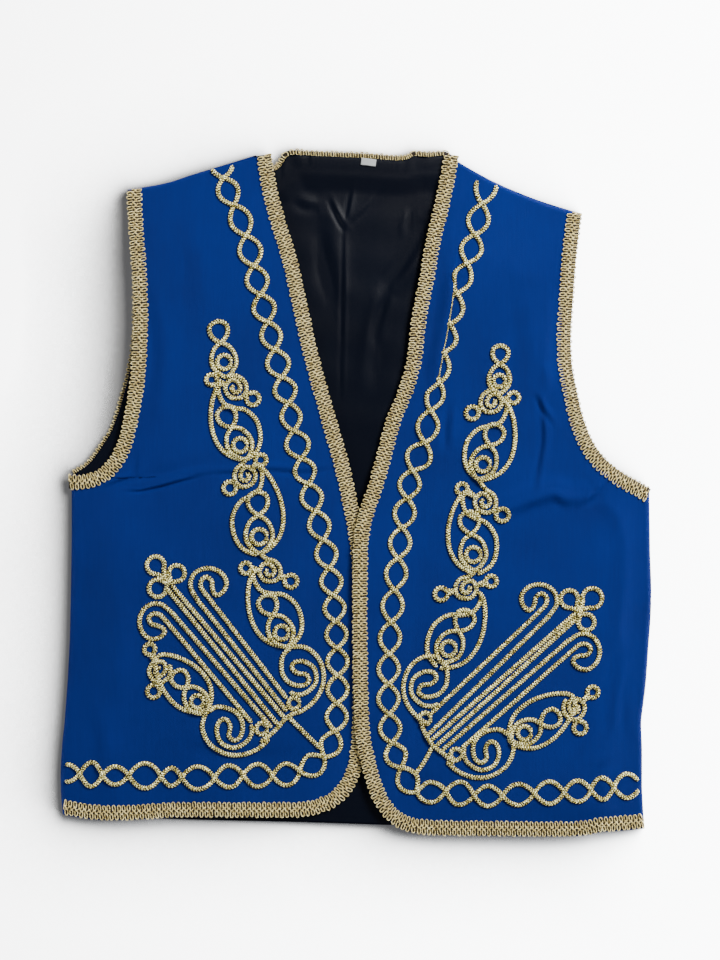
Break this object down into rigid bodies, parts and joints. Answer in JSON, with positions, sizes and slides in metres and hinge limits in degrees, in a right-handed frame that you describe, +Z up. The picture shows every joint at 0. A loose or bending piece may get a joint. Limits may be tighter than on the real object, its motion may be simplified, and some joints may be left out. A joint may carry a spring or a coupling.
{
  "type": "embroidered folk vest",
  "caption": "Sleeveless blue folk-dance vest laid flat, open V front with gold gimp braid along its edges, couched gold cord scrolls and a black satin lining",
  "frame": {"origin": "middle of the outline on the ground, under the vest as it lies", "axes": "+Z up, away from the ground; +Y towards the neck; +X towards the wearer's left side"},
  "size_m": [0.4438, 0.516, 0.0131],
  "materials": {
    "blue_cloth": "smooth blue costume cloth, slight sheen",
    "black_satin": "black lining satin",
    "gold_braid": "antique gold gimp braid with looped edges",
    "gold_cord": "bright gold metallic cord, couched down",
    "white_tab": "white woven tab, bare"
  },
  "bodies": {
    "root": {"armhole_braid_left": "gold_braid", "armhole_braid_right": "gold_braid", "back_armhole_braid_left": "gold_braid", "back_armhole_braid_right": "gold_braid", "back_hem_braid": "gold_braid", "back_lining": "black_satin", "back_neck_braid": "gold_braid", "back_shell": "blue_cloth", "chain_left": "gold_cord", "chain_right": "gold_cord", "fan_left": "gold_cord", "fan_right": "gold_cord", "front_braid_left": "gold_braid", "front_braid_right": "gold_braid", "front_left": "blue_cloth", "front_right": "blue_cloth", "scroll_column_left": "gold_cord", "scroll_column_right": "gold_cord", "size_tab": "white_tab", "sprig_left": "gold_cord", "sprig_right": "gold_cord"}
  },
  "joints": []
}
